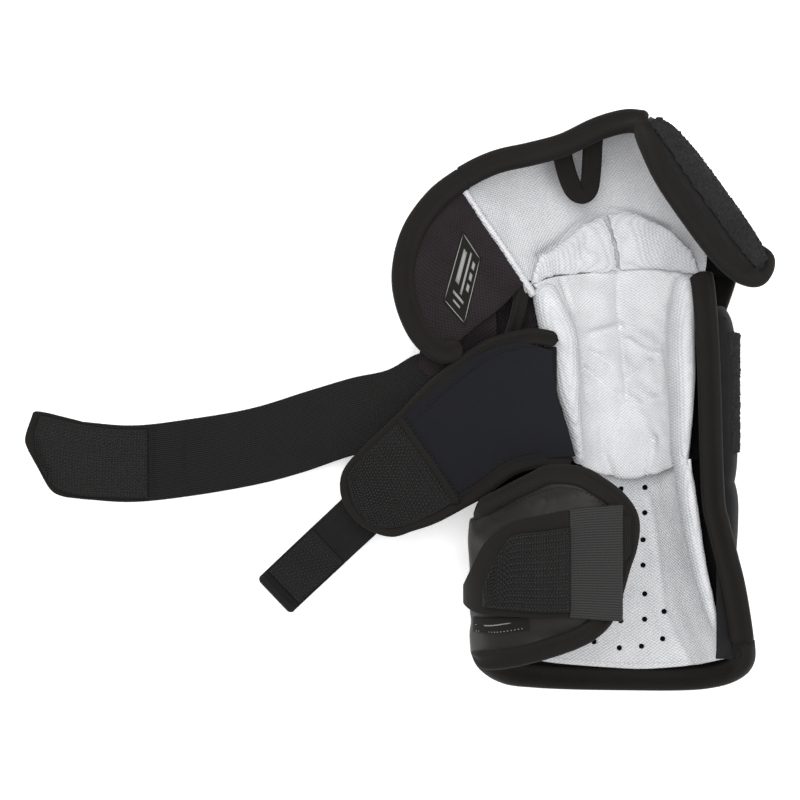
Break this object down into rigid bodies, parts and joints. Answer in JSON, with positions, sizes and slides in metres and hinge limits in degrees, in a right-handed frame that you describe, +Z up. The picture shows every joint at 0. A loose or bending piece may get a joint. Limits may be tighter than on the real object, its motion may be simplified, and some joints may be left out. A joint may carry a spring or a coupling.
{
  "type": "ice hockey elbow pad",
  "caption": "Ice hockey elbow pad: hard cap and plates, padded wings that wrap the arm, a neoprene sling and hook-and-loop straps.",
  "frame": {"origin": "on the flat of the hard elbow cap's outer face, which the pad rests on", "axes": "+X across the arm, +Y towards the shoulder, +Z up, out of the arm channel"},
  "size_m": [0.4666, 0.357, 0.1033],
  "materials": {
    "shell_plastic": "moulded, satin",
    "cover_mesh": "black spacer mesh over foam",
    "liner_knit": "white brushed knit",
    "binding_tape": "folded polyester edge tape",
    "synthetic_leather": "satin coated fabric",
    "print": "plain printed mark",
    "elastic_web": "ribbed woven elastic",
    "hook_tape": "moulded hook tape",
    "loop_fleece": "brushed loop",
    "neoprene": "jersey-faced neoprene",
    "rivet": "moulded snap rivet"
  },
  "bodies": {
    "forearm": {"forearm_shell": "shell_plastic", "forearm_foam": "cover_mesh", "forearm_liner": "liner_knit", "forearm_end_binding": "binding_tape", "forearm_side_binding": "binding_tape", "forearm_side_pad": "synthetic_leather"},
    "forearm_wing": {"forearm_wing": "synthetic_leather", "forearm_wing_binding": "binding_tape", "forearm_wing_stripe": "print", "forearm_strap_anchor": "binding_tape"},
    "forearm_strap": {"forearm_strap": "elastic_web", "forearm_strap_hook": "hook_tape"},
    "elbow": {"elbow_cap": "shell_plastic", "cap_rivets": "rivet", "elbow_foam": "cover_mesh", "elbow_liner": "liner_knit", "liner_roll_left": "liner_knit", "liner_roll_right": "liner_knit", "elbow_wall_left": "cover_mesh", "elbow_wall_right": "cover_mesh", "elbow_side_binding": "binding_tape", "elbow_loop_patch": "loop_fleece"},
    "sling": {"sling_panel": "neoprene", "sling_hook_tab": "hook_tape", "sling_binding": "binding_tape", "keeper_strap_root": "elastic_web"},
    "keeper": {"keeper_strap": "elastic_web", "keeper_strap_hook": "hook_tape"},
    "bicep": {"bicep_shell": "shell_plastic", "bicep_foam": "cover_mesh", "bicep_liner": "liner_knit", "bicep_binding": "binding_tape", "upper_pad_left": "liner_knit", "upper_pad_right": "liner_knit", "pull_loop": "binding_tape"},
    "bicep_wing": {"bicep_wing": "cover_mesh", "bicep_wing_binding": "binding_tape", "wing_label": "print", "bicep_strap_root": "elastic_web"},
    "bicep_strap": {"bicep_strap": "elastic_web", "bicep_strap_tab": "elastic_web", "bicep_strap_hook": "hook_tape"},
    "bicep_flap": {"bicep_flap": "cover_mesh", "flap_binding": "binding_tape", "flap_loop_patch": "loop_fleece"}
  },
  "joints": [
    {"name": "lower_flex", "type": "hinge", "parent": "forearm", "child": "elbow", "pos_m": [0, -0.052, 0.055], "axis": [1, 0, 0], "range_deg": [0, 25]},
    {"name": "upper_flex", "type": "hinge", "parent": "elbow", "child": "bicep", "pos_m": [0, 0.075, 0.055], "axis": [1, 0, 0], "range_deg": [0, 50]},
    {"name": "forearm_wing_fold", "type": "hinge", "parent": "forearm", "child": "forearm_wing", "pos_m": [-0.0976, -0.11, 0.0364], "axis": [0, -1, 0], "range_deg": [0, 55]},
    {"name": "forearm_strap_unfold", "type": "hinge", "parent": "forearm_wing", "child": "forearm_strap", "pos_m": [-0.0122, -0.096, 0.1022], "axis": [0, 1, 0], "range_deg": [0, 150]},
    {"name": "sling_fold", "type": "hinge", "parent": "elbow", "child": "sling", "pos_m": [-0.0448, -0.006, 0.0618], "axis": [-0.2588, 0.9659, 0], "range_deg": [0, 100]},
    {"name": "keeper_swing", "type": "hinge", "parent": "sling", "child": "keeper", "pos_m": [-0.1725, -0.0778, 0.0164], "axis": [-0.6884, 0.7254, 0], "range_deg": [-15, 90]},
    {"name": "bicep_wing_fold", "type": "hinge", "parent": "bicep", "child": "bicep_wing", "pos_m": [-0.0705, 0.079, 0.0538], "axis": [0.5956, -0.8033, 0], "range_deg": [-100, 0], "deforming": ["bicep_strap_root"]},
    {"name": "bicep_strap_swing", "type": "hinge", "parent": "bicep_wing", "child": "bicep_strap", "pos_m": [-0.198, -0.02, 0.0112], "axis": [0, 1, 0], "range_deg": [-20, 95]},
    {"name": "bicep_flap_fold", "type": "hinge", "parent": "bicep", "child": "bicep_flap", "pos_m": [0.08, 0.082, 0.031], "axis": [-0.5822, 0.8131, 0], "range_deg": [0, 70]}
  ],
  "couplings": [
    {"joint": "lower_flex", "follows": "upper_flex", "ratio": 0.5}
  ]
}
